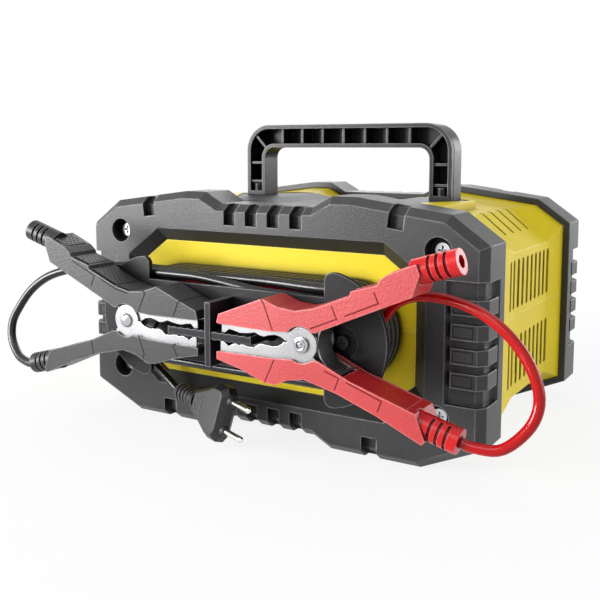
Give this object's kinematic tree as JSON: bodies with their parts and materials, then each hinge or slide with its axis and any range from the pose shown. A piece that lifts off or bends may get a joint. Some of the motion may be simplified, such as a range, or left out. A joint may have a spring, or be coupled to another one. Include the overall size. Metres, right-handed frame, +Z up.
{
  "type": "car battery charger",
  "caption": "Portable battery charger: faceted yellow case between end bumpers, carry handle, cable winder with stored jaw clamps and mains plug, recessed control face.",
  "frame": {"origin": "Middle of the whole body's plan, with the stored clamps, on the plane the feet stand on.", "axes": "+X across the case towards the red clamp, +Y from the cable side to the control side, +Z up."},
  "size_m": [0.3895, 0.2694, 0.2068],
  "materials": {
    "charcoal_plastic": "fine texture",
    "yellow_plastic": "satin",
    "black_plastic": "fine texture",
    "steel_screws": "bright",
    "black_rubber": "matte",
    "display_glass": "clear",
    "display_parts": "matte",
    "button_plastic": "satin",
    "start_plastic": "satin",
    "rocker_plastic": "gloss",
    "circuit_board": "solder mask",
    "core_steel": "laminated",
    "copper": "enamelled wire",
    "sink_aluminium": "extruded",
    "component_plastic": "matte",
    "red_plastic": "fine texture",
    "clamp_black": "fine texture",
    "jaw_metal": "nickel plated",
    "spring_steel": "satin",
    "pin_metal": "nickel plated",
    "red_cable": "gloss",
    "black_cable": "semi gloss"
  },
  "bodies": {
    "case": {"cable_side_bumper": "charcoal_plastic", "panel_side_bumper": "charcoal_plastic", "case_upper_shell": "yellow_plastic", "case_lower_shell": "yellow_plastic", "saddle_plate": "black_plastic", "carry_handle": "charcoal_plastic", "handle_screws": "steel_screws", "bumper_screws": "steel_screws", "winder_left": "charcoal_plastic", "winder_right": "charcoal_plastic", "winder_core": "charcoal_plastic", "winder_screws": "steel_screws", "clamp_dock": "charcoal_plastic", "cable_glands": "black_rubber", "control_fascia": "black_plastic", "display_window": "display_glass", "display_module": "display_parts", "rocker_frame": "black_plastic", "led_light_pipes": "display_glass", "control_board": "circuit_board", "main_board": "circuit_board", "transformer_core": "core_steel", "transformer_coil": "copper", "choke": "copper", "heatsinks": "sink_aluminium", "power_transistors": "component_plastic", "capacitors": "component_plastic", "fan_frame": "black_plastic", "board_screws": "steel_screws", "red_lower_grip": "red_plastic", "red_lower_jaw": "jaw_metal", "red_pivot_rivet": "jaw_metal", "red_leaf_spring": "spring_steel", "red_lower_boot": "black_rubber", "black_lower_grip": "clamp_black", "black_lower_jaw": "jaw_metal", "black_pivot_rivet": "jaw_metal", "black_leaf_spring": "spring_steel", "black_lower_boot": "black_rubber", "plug_body": "black_rubber", "plug_pins": "pin_metal", "plug_strain_relief": "black_rubber", "red_coil": "red_cable", "black_coil": "black_cable", "mains_coil": "black_cable", "red_lead": "red_cable", "black_lead": "black_cable", "mains_lead": "black_cable"},
    "red_clamp_upper": {"red_upper_grip": "red_plastic", "red_upper_jaw": "jaw_metal", "red_upper_boot": "black_rubber"},
    "black_clamp_upper": {"black_upper_grip": "clamp_black", "black_upper_jaw": "jaw_metal", "black_upper_boot": "black_rubber"},
    "mode_button": {"button_mode": "button_plastic"},
    "current_button": {"button_current": "button_plastic"},
    "start_button": {"button_start": "start_plastic"},
    "test_button": {"button_test": "button_plastic"},
    "rocker": {"power_rocker": "rocker_plastic"},
    "fan": {"fan_rotor": "black_plastic"}
  },
  "joints": [
    {"name": "red_clamp_hinge", "type": "hinge", "parent": "case", "child": "red_clamp_upper", "pos_m": [0.0646, -0.1215, 0.0816], "axis": [0, 1, 0], "range_deg": [0, 20], "stiffness_Nm_per_rad": 2.5, "springref_deg": -20.05, "deforming": ["red_leaf_spring"]},
    {"name": "black_clamp_hinge", "type": "hinge", "parent": "case", "child": "black_clamp_upper", "pos_m": [-0.0646, -0.1215, 0.0816], "axis": [0, -1, 0], "range_deg": [0, 20], "stiffness_Nm_per_rad": 2.5, "springref_deg": -20.05, "deforming": ["black_leaf_spring"]},
    {"name": "mode_button_press", "type": "slide", "parent": "case", "child": "mode_button", "axis": [0, -1, 0], "range_m": [0, 0.0012], "stiffness_N_per_m": 400, "springref_m": -0.0005},
    {"name": "current_button_press", "type": "slide", "parent": "case", "child": "current_button", "axis": [0, -1, 0], "range_m": [0, 0.0012], "stiffness_N_per_m": 400, "springref_m": -0.0005},
    {"name": "start_button_press", "type": "slide", "parent": "case", "child": "start_button", "axis": [0, -1, 0], "range_m": [0, 0.0012], "stiffness_N_per_m": 400, "springref_m": -0.0005},
    {"name": "test_button_press", "type": "slide", "parent": "case", "child": "test_button", "axis": [0, -1, 0], "range_m": [0, 0.0012], "stiffness_N_per_m": 400, "springref_m": -0.0005},
    {"name": "power_rocker_tilt", "type": "hinge", "parent": "case", "child": "rocker", "pos_m": [0.058, 0.12575, 0.0608], "axis": [-1, 0, 0], "range_deg": [0, 16]},
    {"name": "fan_spin", "type": "hinge", "parent": "case", "child": "fan", "pos_m": [0.1295, 0.04475, 0.0768], "axis": [1, 0, 0], "continuous": true}
  ]
}
